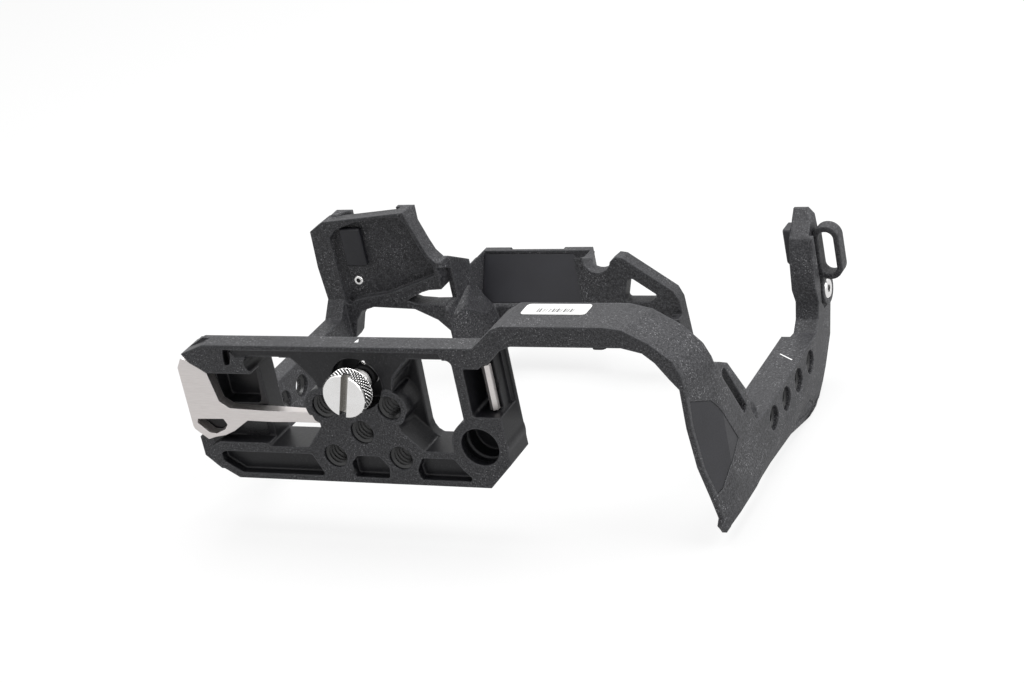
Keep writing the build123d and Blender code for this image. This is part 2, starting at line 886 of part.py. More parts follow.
# filled corner at the rear right of the hollow
with BuildPart() as corner_fill:
    prism(
        facing_side(hood_right_x - pad_corner_run),
        [
            (pad_front.X, pad_front.Y),
            (pad_rear.X, pad_rear.Y),
            (pad_rear.X + 1.6, pad_rear.Y),
            (pad_front.X + 1.6, pad_front.Y),
        ],
        pad_corner_run + 0.5,
    )
    prism(
        facing_down(90),
        [
            (hood_right_x - pad_corner_run, pad_rear.Y),
            (hood_right_x, pad_rear.Y - pad_corner_drop),
            (hood_right_x + 0.5, pad_rear.Y - pad_corner_drop),
            (hood_right_x + 0.5, pad_rear.Y),
        ],
        -20,
        Mode.INTERSECT,
    )

# flange of the left wall, rising from the front bar and running in to the hollow
with BuildPart() as left_flange:
    prism(
        facing_side(hood_left_outer_x),
        [
            (79.4, -15.8),
            (79.8, -8.2),
            (82.0, -6.8),
            (92.6, -0.8),
            (94.4, -11.8),
            (93.2, -19.0),
            (92.8, hood_front_z),
            (84.0, -19.8),
        ],
        11.0,
    )
    prism(
        facing_down(75),
        [
            (hood_left_outer_x, -25.0),
            (-5.0, -25.0),
            (-8.4, -11.0),
            (-10.8, -7.4),
            (hood_left_x, -3.0),
            (hood_left_outer_x, 1.0),
        ],
        -30,
        Mode.INTERSECT,
    )
    prism(
        Plane.XY.offset(-26),
        [
            (hood_left_outer_x, deck_bottom_y),
            (-13.4, 80.2),
            (-11.0, 84.0),
            (-8.0, 90.0),
            (-4.5, 93.0),
            (-4.5, 96.0),
            (hood_left_outer_x, 96.0),
        ],
        30,
        Mode.INTERSECT,
    )

with BuildPart() as hump_hood:
    # arch across the hump, from the shoulder's level up, over and down to the dip
    prism(
        Plane.XY.offset(hood_front_z),
        [
            (hood_left_outer_x, deck_bottom_y),
            (hood_left_outer_x, hood_top_y - 13.0),
            (hood_left_outer_x + 2.0, hood_top_y - 3.0),
            (hood_left_outer_x + 5.0, hood_top_y),
            (hood_right_outer_x - 6.4, hood_top_y),
            (hood_right_outer_x - 2.8, hood_top_y - 2.6),
            (hood_right_outer_x - 0.6, hood_top_y - 8.4),
            (hood_right_outer_x + 1.0, wing_top_y),
            (wing_left_x, wing_top_y),
            (wing_left_x, wing_bottom_y),
            (hood_right_x, wing_bottom_y),
            (hood_right_x, hood_flange_y - 3.0),
            (hood_left_x, hood_flange_y - 3.0),
            (hood_left_outer_x + 0.8, deck_bottom_y),
        ],
        40,
    )
    # side view: rear rim, sloping crown and front; the left wall leaves the pocket's end free
    prism(
        facing_side(-30),
        [
            (deck_bottom_y, 9.2),
            (84.0, 9.2),
            (93.0, 4.0),
            (98.0, hood_rear_z),
            (hood_rear_y, hood_rear_z),
            (hood_top_y, -1.4),
            (105.6, -10.0),
            (hood_front_y, hood_front_z),
            (hood_flange_y - 1.2, hood_front_z),
            (84.0, -20.0),
            (deck_bottom_y, -16.0),
            (deck_bottom_y, -5.4),
            (shoulder_top_y, -3.8),
            (shoulder_top_y, 5.6),
            (deck_bottom_y, 7.6),
        ],
        80,
        Mode.INTERSECT,
    )
    # rear corner of the crown at the left and the round dip between hood and wing
    prism(
        facing_down(hood_top_y - 14.0),
        [(-17.0, -4.5), (-14.6, -0.6), (-12.2, 3.2), (-12.2, 12.0), (-17.0, 12.0)],
        -20,
        Mode.SUBTRACT,
    )
    round_prism(facing_down(deck_bottom_y), dip_center, dip_radius, -30, Mode.SUBTRACT)
    # hollow for the camera's hump, with the pad's slope at its front
    prism(
        facing_side(hood_left_x),
        [
            (70.0, 20.0),
            (pad_rear.X, 20.0),
            (pad_rear.X, pad_rear.Y),
            (slope_rear.X, slope_rear.Y),
            (slope_front.X, slope_front.Y),
            (pad_front.X, pad_front.Y),
            (hood_flange_y, pad_front.Y - 1.0),
            (hood_flange_y - 1.2, -20.0),
            (hood_flange_y - 1.2, -60.0),
            (70.0, -60.0),
        ],
        hood_right_x - hood_left_x,
        Mode.SUBTRACT,
    )
    add(corner_fill.part)
    add(left_flange.part)

pad_inset = pad_run * seat_gap
pad_section = [
    pad_rear - pad_inset,
    slope_rear - pad_inset,
    slope_front + pad_inset,
    pad_front + pad_inset,
]
with BuildPart() as hump_pad:
    prism(
        facing_side(hood_left_x + seat_gap),
        [(corner.X, corner.Y) for corner in pad_section],
        hood_right_x - hood_left_x - 2 * seat_gap,
    )
    prism(
        facing_down(90),
        [
            (hood_right_x - pad_corner_run - seat_gap, pad_rear.Y + 0.1),
            (hood_right_x, pad_rear.Y - pad_corner_drop - 2 * seat_gap),
            (hood_right_x, pad_rear.Y + 3),
            (hood_right_x - pad_corner_run - seat_gap, pad_rear.Y + 3),
        ],
        -20,
        Mode.SUBTRACT,
    )

# ---------------------------------------------------------------- front wing
wing_outline = [
    (wing_left_x, 3.6),
    (33.2, 5.2),
    (35.2, 4.9),
    (48.4, -5.1),
    (49.6, -8.0),
    (50.2, -20.0),
    (wing_left_x, -20.0),
]
with BuildPart() as front_wing:
    with BuildSketch(facing_down(wing_bottom_y)) as wing_sketch:
        Polygon(*wing_outline, align=None)
    extrude(amount=-wing_thickness)
    round_prism(facing_down(deck_bottom_y), dip_center, dip_radius, -30, Mode.SUBTRACT)
    # front lip, hanging from the plate along its front edge
    prism(
        facing_down(wing_lip_y),
        [
            (wing_left_x, -20.0),
            (50.2, -20.0),
            (50.0, -12.0),
            (47.0, -12.0),
            (46.0, -20.0 + wing_lip_thickness),
            (wing_left_x, -20.0 + wing_lip_thickness),
        ],
        wing_lip_y - wing_bottom_y,
    )
    prism(
        facing_down(wing_bottom_y),
        [(35.2, -1.9), (36.9, -1.2), (43.8, -6.4), (41.2, -8.2), (33.4, -8.2)],
        -wing_thickness,
        Mode.SUBTRACT,
        0.8,
    )

# ---------------------------------------------------------------- camera screw
head_bottom_y = screw_head_height - screw_head_proud
with BuildPart() as camera_screw:
    round_prism(
        facing_down(-screw_head_proud), (screw_x, screw_z), screw_head_radius, -screw_head_height
    )
    chamfer(camera_screw.edges().filter_by(GeomType.CIRCLE), 0.45)
    round_prism(
        facing_down(head_bottom_y), (screw_x, screw_z), screw_neck_radius, -screw_neck_length
    )
    round_prism(
        facing_down(head_bottom_y + screw_neck_length),
        (screw_x, screw_z),
        thread_radius,
        -screw_thread_length,
    )
    chamfer(camera_screw.edges().group_by(Axis.Y)[-1], 0.7)
    # coin slot
    with BuildSketch(facing_down(-screw_head_proud)) as coin_slot:
        with Locations(Location((screw_x, screw_z), screw_slot_angle)):
            Rectangle(screw_slot_width, 2 * screw_head_radius + 2)
    extrude(coin_slot.sketch, amount=-screw_slot_depth, mode=Mode.SUBTRACT)

with BuildPart() as screw_ring:
    round_prism(
        facing_down(head_bottom_y + seat_gap), (screw_x, screw_z), ring_radius, -ring_thickness
    )
    round_prism(
        facing_down(head_bottom_y + seat_gap),
        (screw_x, screw_z),
        screw_neck_radius + 0.05,
        -ring_thickness,
        Mode.SUBTRACT,
    )

# ---------------------------------------------------------------- flat driver
with BuildPart() as flat_driver:
    with BuildSketch(facing_down(driver_top)) as driver_sketch:
        Polygon(
            (-48.6, plate_rear_z - 4.3),
            (-50.2, plate_rear_z - 7.0),
            (-50.3, -0.1),
            (-50.0, -1.0),
            (-46.6, -3.9),
            (-44.4, -3.2),
            (-41.2, -2.6),
            (-38.0, -1.2),
            (-33.3, 1.9),
            (-19.4, 1.6),
            (driver_tip_x, driver_tip_z),
            (driver_tip_x - driver_tip_slant, driver_tip_z + driver_tip_width),
            (-26.0, 4.8),
            (-37.7, 5.3),
            (-40.4, 7.2),
            (-41.9, plate_rear_z - 8.5),
            (-45.9, plate_rear_z - 5.7),
            align=None,
        )
    extrude(amount=-driver_thickness)
    # finger hole and the thinned blade
    prism(
        facing_down(driver_top),
        [(-48.3, 2.0), (-40.5, 2.2), (-39.7, 0.6), (-40.8, -0.9), (-43.8, -2.2), (-45.8, -2.0),
         (-48.8, 0.8)],
        -driver_thickness,
        Mode.SUBTRACT,
        0.4,
    )
    blade_start_x = -26.0
    prism(
        Plane.XY.offset(-10),
        [
            (blade_start_x, driver_top - 1),
            (-10.0, driver_top - 1),
            (-10.0, driver_top + 0.9),
            (blade_start_x + 7, driver_top + 0.6),
            (blade_start_x, driver_top),
        ],
        30,
        Mode.SUBTRACT,
    )

with BuildPart() as driver_magnet:
    prism(
        facing_down(bay_floor),
        [
            (magnet_x - magnet_length / 2, magnet_z - magnet_width / 2),
            (magnet_x + magnet_length / 2, magnet_z - magnet_width / 2),
            (magnet_x + magnet_length / 2, magnet_z + magnet_width / 2),
            (magnet_x - magnet_length / 2, magnet_z + magnet_width / 2),
        ],
        -magnet_depth,
    )

# ---------------------------------------------------------------- hex key
key_front_z = key_pocket_front_z + fit_gap
key_rear_z = key_pocket_rear_z - fit_gap
with BuildPart() as hex_key:
    with BuildSketch(Plane.XY.offset(key_front_z)) as key_section:
        with Locations((key_x, key_y)):
            RegularPolygon(key_across_flats / 2, 6, major_radius=False, rotation=30)
    extrude(amount=key_rear_z - key_front_z)
    chamfer(hex_key.edges().group_by(Axis.Z)[0] + hex_key.edges().group_by(Axis.Z)[-1], 0.25)

with BuildPart() as key_magnet:
    round_prism(
        facing_down(rib_front_y), (key_x, key_magnet_z), key_magnet_radius, -key_magnet_depth
    )

# ---------------------------------------------------------------- pads
with BuildPart() as shoulder_pad:
    with BuildSketch(facing_down(deck_bottom_y + 0.4)) as pad_sketch:
        with Locations((-40.9, 13.75)):
            RectangleRounded(6.4, 11.4, 0.5)
    extrude(amount=0.4 - deck_pocket)
    chamfer(shoulder_pad.faces().sort_by(Axis.Y)[0].edges(), 0.4)

with BuildPart() as finger_pad:
    with BuildSketch(facing_side(finger_inner_x)) as finger_pad_sketch:
        with Locations((92.3, 8.4)):
            RectangleRounded(5.4, 10.2, 1.0)
    extrude(amount=-2.1)
    chamfer(finger_pad.faces().sort_by(Axis.X)[0].edges(), 0.4)

with BuildPart() as arm_pad:
    with BuildSketch(Plane.XY.offset(arm_inner_z)) as arm_pad_sketch:
        with Locations((68.3, arm_height / 2)):
            RectangleRounded(3.4, arm_height - 1.2, 1.0)
    extrude(amount=-0.8)

# ---------------------------------------------------------------- screws, lug and label
with BuildPart() as shoulder_screw:
    round_prism(
        facing_down(deck_bottom_y + deck_pocket - 0.3),
        (shoulder_screw_x, shoulder_screw_z),
        shoulder_screw_radius,
        0.3 - shoulder_screw_length,
    )
    chamfer(shoulder_screw.edges().group_by(Axis.Y)[0], 0.2)
    with BuildSketch(facing_down(deck_bottom_y + deck_pocket - 0.3)) as shoulder_socket:
        with Locations((shoulder_screw_x, shoulder_screw_z)):
            RegularPolygon(0.65, 6, major_radius=False)
    extrude(shoulder_socket.sketch, amount=-1.4, mode=Mode.SUBTRACT)

lug_ring_y = lug_screw_y + lug_ring_depth / 2 - 1.0
lug_head_seat_x = lug_seat_x + lug_foot_thickness - lug_head_sunk
with BuildPart() as strap_lug:
    # foot on the finger's face
    with BuildSketch(facing_side(lug_seat_x)) as lug_foot:
        with Locations((lug_screw_y, lug_screw_z)):
            Circle(lug_foot_radius)
        Polygon(
            (lug_ring_y - lug_ring_depth + 0.6, lug_screw_z),
            (lug_ring_y, lug_screw_z),
            (lug_ring_y, lug_ring_front_z + 3),
            (lug_ring_y - lug_ring_depth, lug_ring_front_z + 3),
            align=None,
        )
    extrude(lug_foot.sketch, amount=lug_foot_thickness)
    # ring that stands out from the foot
    with BuildSketch(facing_down(lug_ring_y)) as lug_ring:
        ring_center = (
            lug_seat_x + lug_ring_width / 2,
            (lug_ring_front_z + lug_ring_rear_z) / 2,
        )
        ring_length = lug_ring_rear_z - lug_ring_front_z
        with Locations(ring_center):
            RectangleRounded(lug_ring_width, ring_length, lug_ring_width / 2 - 0.1)
            RectangleRounded(
                lug_ring_width - 2 * lug_ring_bar,
                ring_length - 2 * lug_ring_bar,
                lug_ring_width / 2 - 0.1 - lug_ring_bar,
                mode=Mode.SUBTRACT,
            )
    extrude(lug_ring.sketch, amount=lug_ring_depth)
    # seat of the screw head
    round_prism(
        facing_side(lug_seat_x), (lug_screw_y, lug_screw_z), lug_screw_radius + seat_gap,
        lug_foot_thickness, Mode.SUBTRACT,
    )
    round_prism(
        facing_side(lug_head_seat_x), (lug_screw_y, lug_screw_z), lug_head_radius + seat_gap,
        2 * lug_head_sunk, Mode.SUBTRACT,
    )

with BuildPart() as lug_screw:
    round_prism(
        facing_side(lug_head_seat_x), (lug_screw_y, lug_screw_z), lug_head_radius, lug_head_height
    )
    chamfer(lug_screw.edges().group_by(Axis.X)[-1], 0.3)
    round_prism(
        facing_side(lug_head_seat_x), (lug_screw_y, lug_screw_z), lug_screw_radius,
        lug_seat_x - lug_screw_length - lug_head_seat_x,
    )
    with BuildSketch(facing_side(lug_head_seat_x + lug_head_height)) as lug_socket:
        with Locations((lug_screw_y, lug_screw_z)):
            RegularPolygon(1.0, 6, major_radius=False)
    extrude(lug_socket.sketch, amount=-1.0, mode=Mode.SUBTRACT)

with BuildPart() as label:
    with BuildSketch(Plane.XY.offset(arm_rear_z)) as label_sketch:
        with Locations((55.2, 9.3)):
            RectangleRounded(16.9, 5.5, 1.1)
    extrude(amount=0.12)

# ---------------------------------------------------------------- files
pieces = {
    "base_plate": base_plate,
    "rear_arm": rear_arm,
    "palm_plate": palm_plate,
    "side_rail": side_rail,
    "grip_finger": grip_finger,
    "left_strut": left_strut,
    "left_shoulder": left_shoulder,
    "hump_hood": hump_hood,
    "front_wing": front_wing,
    "camera_screw": camera_screw,
    "screw_ring": screw_ring,
    "flat_driver": flat_driver,
    "driver_magnet": driver_magnet,
    "hex_key": hex_key,
    "key_magnet": key_magnet,
    "palm_inlay": palm_inlay,
    "hump_pad": hump_pad,
    "shoulder_pad": shoulder_pad,
    "finger_pad": finger_pad,
    "arm_pad": arm_pad,
    "shoulder_screw": shoulder_screw,
    "strap_lug": strap_lug,
    "lug_screw": lug_screw,
    "label": label,
}
os.makedirs("parts", exist_ok=True)
for name, piece in pieces.items():
    piece.part.label = name
    export_step(piece.part, f"parts/{name}.step")
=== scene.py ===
import json
import math
import random

import bmesh
import bpy
from mathutils import Matrix, Vector


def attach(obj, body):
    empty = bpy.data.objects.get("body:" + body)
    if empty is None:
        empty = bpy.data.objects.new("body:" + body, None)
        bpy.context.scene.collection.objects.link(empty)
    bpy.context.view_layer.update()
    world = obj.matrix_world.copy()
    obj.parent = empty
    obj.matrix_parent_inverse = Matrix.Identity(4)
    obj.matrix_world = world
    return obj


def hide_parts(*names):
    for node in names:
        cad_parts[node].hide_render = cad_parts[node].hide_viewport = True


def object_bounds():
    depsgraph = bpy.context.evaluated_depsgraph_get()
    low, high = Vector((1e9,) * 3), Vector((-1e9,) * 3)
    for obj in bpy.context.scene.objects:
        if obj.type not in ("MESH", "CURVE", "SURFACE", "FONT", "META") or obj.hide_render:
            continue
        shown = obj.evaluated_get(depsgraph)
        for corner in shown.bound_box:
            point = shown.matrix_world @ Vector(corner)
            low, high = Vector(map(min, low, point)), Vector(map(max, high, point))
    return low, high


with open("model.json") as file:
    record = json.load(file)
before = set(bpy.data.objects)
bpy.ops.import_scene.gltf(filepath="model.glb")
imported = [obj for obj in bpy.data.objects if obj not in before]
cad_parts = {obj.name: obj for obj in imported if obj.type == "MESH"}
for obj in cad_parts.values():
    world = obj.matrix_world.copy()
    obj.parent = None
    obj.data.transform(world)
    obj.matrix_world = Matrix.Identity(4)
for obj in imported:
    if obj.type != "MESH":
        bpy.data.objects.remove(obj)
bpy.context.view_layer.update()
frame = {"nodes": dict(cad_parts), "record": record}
nodes = frame["nodes"]

# Sizes and places below are in millimetres, unless a comment says metres.
MM = 0.001
WELD = 4e-6  # metres: points closer than this are one
SLIVER = 3e-6  # metres: edges shorter than this go

# the plate: Y grows from its outer face to the camera side, Z from its front edge to its rear edge
BEFORE_PLATE = -0.5
PLATE_BACK = 10.65
BEHIND_PLATE = 11.5
LAND_Z = 23.70
BOSSES = ((-9.3, 7.0), (9.3, 7.0))
LOWER_HOLES = ((0.0, 0.0), (-9.3, -7.0), (9.3, -7.0))

# bore of a quarter inch hole, the wall that its thread stands on, and the thread's crest
BORE_RADIUS = 3.175
HOLE_WALL = 3.2
HOLE_CREST = 2.5
THREAD_PITCH = 1.27

# the side wall's outer face and a plane outside it
SIDE_FACE = 91.0
BEYOND_SIDE = 94.0

# the first hole of the row in the rail and of the row in the strut, and the strut's face
RAIL_HOLE_Y = 43.3
RAIL_HOLE_Z = -16.6
RAIL_HOLE_PITCH = 10.0
STRUT_FACE = -47.4
STRUT_HOLE_Y = 39.0
STRUT_HOLE_Z = -13.5
STRUT_HOLE_PITCH = 9.5

# axis of the camera screw, and where its head and its thread begin and end
SCREW_X = 1.6
SCREW_Z = 13.4
HEAD_FACE = -6.4
HEAD_BACK = -2.0
THREAD_START = 2.4
THREAD_END = 8.4


# ---------------------------------------------------------------- materials
class Net:
    """A material's node tree, with short calls for the nodes used here."""

    def __init__(self, name):
        self.material = bpy.data.materials.new(name)
        self.material.use_nodes = True
        self.tree = self.material.node_tree
        self.shader = self.tree.nodes["Principled BSDF"]
        self.place = self.tree.nodes.new("ShaderNodeTexCoord").outputs["Object"]

    def node(self, kind, **values):
        """A new node, with the values of its sockets or settings."""
        made = self.tree.nodes.new(kind)
        for key, value in values.items():
            if key in made.inputs:
                made.inputs[key].default_value = value
            else:
                setattr(made, key, value)
        return made

    def link(self, source, target):
        self.tree.links.new(source, target)

    def noise(self, size_mm, detail=3.0, rough=0.55, where=None):
        """Noise from 0 to 1 with grains of about size_mm."""
        made = self.node("ShaderNodeTexNoise", Scale=1.0 / (size_mm * MM), Detail=detail, Roughness=rough)
        self.link(where or self.place, made.inputs["Vector"])
        return made.outputs["Fac"]

    def ramp(self, value, low, high, out_low=0.0, out_high=1.0):
        """Map a value from low and high to out_low and out_high, and hold it between them."""
        made = self.node("ShaderNodeMapRange")
        made.inputs["From Min"].default_value = low
        made.inputs["From Max"].default_value = high
        made.inputs["To Min"].default_value = out_low
        made.inputs["To Max"].default_value = out_high
        self.link(value, made.inputs["Value"])
        return made.outputs["Result"]

    def math(self, operation, a, b):
        """Work out one value from two sockets or numbers."""
        made = self.node("ShaderNodeMath", operation=operation)
        for socket, value in zip(made.inputs, (a, b)):
            if isinstance(value, (int, float)):
                socket.default_value = value
            else:
                self.link(value, socket)
        return made.outputs["Value"]

    def mix(self, factor, a, b):
        """Blend two colours."""
        made = self.node("ShaderNodeMix", data_type="RGBA")
        for socket, value in ((made.inputs[0], factor), (made.inputs[6], a), (made.inputs[7], b)):
            if isinstance(value, (int, float)):
                socket.default_value = value
            elif isinstance(value, tuple):
                socket.default_value = (*value, 1.0)
            else:
                self.link(value, socket)
        return made.outputs[2]

    def bump(self, height, depth_mm, strength, normal=None):
        """Normals of a surface raised by a height from 0 to 1."""
        made = self.node("ShaderNodeBump", Strength=strength, Distance=depth_mm * MM)
        self.link(height, made.inputs["Height"])
        if normal is not None:
            self.link(normal, made.inputs["Normal"])
        return made.outputs["Normal"]

    def rounded(self, radius_mm):
        """Normals rounded over the edges."""
        return self.node("ShaderNodeBevel", samples=6, Radius=radius_mm * MM).outputs["Normal"]

    def edges(self, rounded_normal):
        """1 on the edges that the rounded normals turn over, 0 on the faces."""
        flat_normal = self.node("ShaderNodeNewGeometry").outputs["Normal"]
        dot = self.node("ShaderNodeVectorMath", operation="DOT_PRODUCT")
        self.link(rounded_normal, dot.inputs[0])
        self.link(flat_normal, dot.inputs[1])
        return self.ramp(dot.outputs["Value"], 0.99, 0.86)

    def axes(self):
        """The X, Y and Z of a point, in metres."""
        made = self.node("ShaderNodeSeparateXYZ")
        self.link(self.place, made.inputs[0])
        return made.outputs

    def within(self, value, low_mm, high_mm, soft_mm=0.05):
        """1 where a value in metres lies between two limits."""
        above = self.ramp(value, (low_mm - soft_mm) * MM, (low_mm + soft_mm) * MM)
        below = self.ramp(value, (high_mm + soft_mm) * MM, (high_mm - soft_mm) * MM)
        return self.math("MULTIPLY", above, below)

    def from_axis(self, center_x_mm, center_z_mm):
        """Distance in metres from an axis along Y."""
        axes = self.axes()
        aside = self.math("SUBTRACT", axes[0], center_x_mm * MM)
        upward = self.math("SUBTRACT", axes[2], center_z_mm * MM)
        squares = self.math("ADD", self.math("MULTIPLY", aside, aside), self.math("MULTIPLY", upward, upward))
        return self.math("POWER", squares, 0.5)

    def finish(self, color, rough, normal, metallic=0.0, ior=1.5):
        """Send colour, roughness and normals to the shader."""
        self.link(color, self.shader.inputs["Base Color"])
        self.link(rough, self.shader.inputs["Roughness"])
        self.link(normal, self.shader.inputs["Normal"])
        self.shader.inputs["Metallic"].default_value = metallic
        self.shader.inputs["IOR"].default_value = ior
        return self.material


def anodised():
    """Bead-blasted, black anodised aluminium, with painted glints as bright flecks, edges painted lighter
    (partly wear, partly painted highlight) and painted shade in the plate's recesses.
    """
    net = Net("black_anodised")
    round_normal = net.rounded(0.8)
    edge = net.edges(round_normal)
    blast = net.noise(0.38, 2.0, 0.6)
    coarse = net.noise(0.85, 3.0, 0.65)
    grain = net.noise(0.42, 2.0, 0.7)
    cloud = net.noise(11.0, 3.0)
    # bright flecks in sparse patches: painted glints of the blasted surface
    patch = net.ramp(net.noise(8.0, 2.0), 0.40, 0.62, 0.20, 1.0)
    painted_glint = net.math("MULTIPLY", net.ramp(grain, 0.585, 0.70), patch)
    base = net.mix(net.ramp(cloud, 0.3, 0.7), (0.0050, 0.0052, 0.0064), (0.0090, 0.0092, 0.0110))
    mottled = net.mix(net.ramp(coarse, 0.40, 0.66), base, (0.030, 0.030, 0.0335))
    speckled = net.mix(net.ramp(blast, 0.47, 0.66, 0.0, 0.85), mottled, (0.062, 0.062, 0.067))
    with_painted_glints = net.mix(painted_glint, speckled, (0.24, 0.24, 0.25))
    # the plate's recesses, windows and bores are machined after blasting, so they are smoother; their colour
    # is also darkened, as painted shade in the recesses
    axes = net.axes()
    inside = net.math("MULTIPLY", net.within(axes[0], -47.5, 45.0), net.within(axes[2], -13.9, 23.2))
    machined_and_shaded = net.math("MULTIPLY", inside, net.within(axes[1], 0.35, 10.3))
    # painted shade: the recesses' colour darker
    surface = net.mix(net.math("MULTIPLY", machined_and_shaded, 0.85), with_painted_glints, (0.0055, 0.0055, 0.0072))
    # edges painted lighter: partly worn anodising, partly a painted highlight
    color = net.mix(net.math("MULTIPLY", edge, 0.55), surface, (0.075, 0.076, 0.082))
    rough = net.math("SUBTRACT", net.ramp(blast, 0.2, 0.8, 0.44, 0.64), net.math("MULTIPLY", machined_and_shaded, 0.16))
    blasted = net.math("SUBTRACT", 1.0, net.math("MULTIPLY", machined_and_shaded, 0.8))
    normal = net.bump(net.math("MULTIPLY", blast, blasted), 0.08, 0.8, round_normal)
    net.shader.inputs["Specular IOR Level"].default_value = 0.38
    return net.finish(color, rough, normal)


def thread_black():
    """Anodised thread flanks, smoother than the blasted faces, with a painted highlight along the crests'
    edges.
    """
    net = Net("thread_black")
    round_normal = net.rounded(0.10)
    fine = net.noise(0.3, 2.0)
    flanks = net.mix(fine, (0.006, 0.006, 0.007), (0.014, 0.014, 0.015))
    # painted highlight: the crests' edges lighter
    color = net.mix(net.math("MULTIPLY", net.edges(round_normal), 0.8), flanks, (0.10, 0.10, 0.105))
    rough = net.ramp(fine, 0.3, 0.7, 0.26, 0.36)
    return net.finish(color, rough, net.bump(fine, 0.01, 0.3, round_normal), ior=1.6)


def soft_rubber():
    """Smooth inlays and pads, slightly blue, with a painted highlight on their edges."""
    net = Net("soft_rubber")
    round_normal = net.rounded(0.3)
    fine = net.noise(0.35, 3.0)
    cloud = net.noise(9.0, 2.0)
    faces = net.mix(net.ramp(cloud, 0.3, 0.7), (0.0070, 0.0070, 0.0100), (0.0105, 0.0105, 0.0145))
    # painted highlight: the edges lighter
    color = net.mix(net.math("MULTIPLY", net.edges(round_normal), 0.4), faces, (0.05, 0.05, 0.055))
    rough = net.ramp(fine, 0.3, 0.7, 0.42, 0.54)
    return net.finish(color, rough, net.bump(fine, 0.012, 0.5, round_normal))


def satin_steel():
    """Steel of the driver and the key, ground along X, with a painted highlight on its edges."""
    net = Net("satin_steel")
    round_normal = net.rounded(0.16)
    fine = net.noise(0.3, 4.0)
    stretch = net.node("ShaderNodeMapping")
    stretch.inputs["Scale"].default_value = (0.12, 1.0, 1.0)
    net.link(net.place, stretch.inputs["Vector"])
    lines = net.noise(0.35, 4.0, 0.6, stretch.outputs["Vector"])
    faces = net.mix(net.ramp(lines, 0.3, 0.7), (0.74, 0.70, 0.685), (0.81, 0.77, 0.755))
    # painted highlight: the edges lighter
    color = net.mix(net.math("MULTIPLY", net.edges(round_normal), 0.7), faces, (0.88, 0.87, 0.86))
    rough = net.ramp(fine, 0.3, 0.7, 0.36, 0.46)
    return net.finish(color, rough, net.bump(lines, 0.008, 0.35, round_normal), metallic=1.0)


def bright_nickel():
    """Bright nickel plate turned round the screw's axis, with painted shade in the knurl's valleys, in the
    slot and behind the head.
    """
    net = Net("bright_nickel")
    round_normal = net.rounded(0.14)
    fine = net.noise(0.25, 3.0)
    cloud = net.noise(3.0, 2.0)
    plated = net.mix(net.ramp(cloud, 0.3, 0.7), (0.94, 0.93, 0.92), (0.98, 0.975, 0.97))
    depth = net.axes()[1]
    radius = net.from_axis(SCREW_X, SCREW_Z)
    # painted shade: darker grey within 5.4 mm of the axis, from just behind the head's face to the plate's
    # face, in the slot and on the head's back and neck
    slot_and_neck_shade = net.math("MULTIPLY", net.within(depth, HEAD_FACE + 0.25, 0.0), net.within(radius, -1.0, 5.4))
    # painted shade: near black in the knurl's valleys
    side = net.math("MULTIPLY", net.within(radius, 5.4, 7.0), net.ramp(radius, 0.00594, 0.00572))
    knurl_valley_shade = net.math("MULTIPLY", net.within(depth, HEAD_FACE + 0.4, HEAD_BACK - 0.4), side)
    color = net.mix(knurl_valley_shade, net.mix(slot_and_neck_shade, plated, (0.36, 0.35, 0.33)), (0.04, 0.04, 0.04))
    rough = net.ramp(fine, 0.3, 0.7, 0.16, 0.28)
    turned = net.node("ShaderNodeTangent", direction_type="RADIAL", axis="Y")
    net.link(turned.outputs["Tangent"], net.shader.inputs["Tangent"])
    net.shader.inputs["Anisotropic"].default_value = 0.7
    return net.finish(color, rough, net.bump(fine, 0.004, 0.4, round_normal), metallic=1.0)


def dark_steel():
    """Oxidised steel of the black hardware, also used as painted shade: plugs at the bottom of sockets, the
    screw's thread in its recess and the ring behind the screw's head.
    """
    net = Net("dark_steel")
    fine = net.noise(0.3, 3.0)
    color = net.mix(fine, (0.016, 0.016, 0.018), (0.030, 0.030, 0.032))
    rough = net.ramp(fine, 0.3, 0.7, 0.35, 0.5)
    return net.finish(color, rough, net.bump(fine, 0.01, 0.4, net.rounded(0.12)), metallic=0.6)


def magnet_plate():
    """Black coated magnets."""
    net = Net("magnet_plate")
    fine = net.noise(0.4, 3.0)
    color = net.mix(fine, (0.012, 0.012, 0.013), (0.030, 0.030, 0.032))
    rough = net.ramp(fine, 0.3, 0.7, 0.25, 0.4)
    return net.finish(color, rough, net.bump(fine, 0.01, 0.3, net.rounded(0.2)), metallic=0.2)


def white_paint():
    """Filled engraving paint of the index marks."""
    net = Net("white_paint")
    fine = net.noise(0.3, 3.0)
    color = net.mix(fine, (0.78, 0.78, 0.78), (0.92, 0.92, 0.92))
    return net.finish(color, net.ramp(fine, 0.3, 0.7, 0.5, 0.65), net.bump(fine, 0.01, 0.3))


def printed_bars():
    """Dark grey print of the label's plain bars."""
    net = Net("printed_bars")
    fine = net.noise(0.3, 3.0)
    color = net.mix(fine, (0.10, 0.10, 0.10), (0.22, 0.22, 0.22))
    return net.finish(color, net.ramp(fine, 0.3, 0.7, 0.5, 0.6), net.bump(fine, 0.01, 0.2))


def label_film():
    """White film of the label."""
    net = Net("label_film")
    fine = net.noise(0.6, 3.0)
    color = net.mix(fine, (0.80, 0.80, 0.79), (0.88, 0.88, 0.87))
    return net.finish(color, net.ramp(fine, 0.3, 0.7, 0.40, 0.52), net.bump(fine, 0.01, 0.2))


MATERIALS = {
    "black_anodised": anodised(),
    "rubber": soft_rubber(),
    "satin_steel": satin_steel(),
    "nickel": bright_nickel(),
    "dark_steel": dark_steel(),
    "magnet": magnet_plate(),
    "label_film": label_film(),
}
WHITE_PAINT = white_paint()
PRINTED_BARS = printed_bars()
THREAD_BLACK = thread_black()

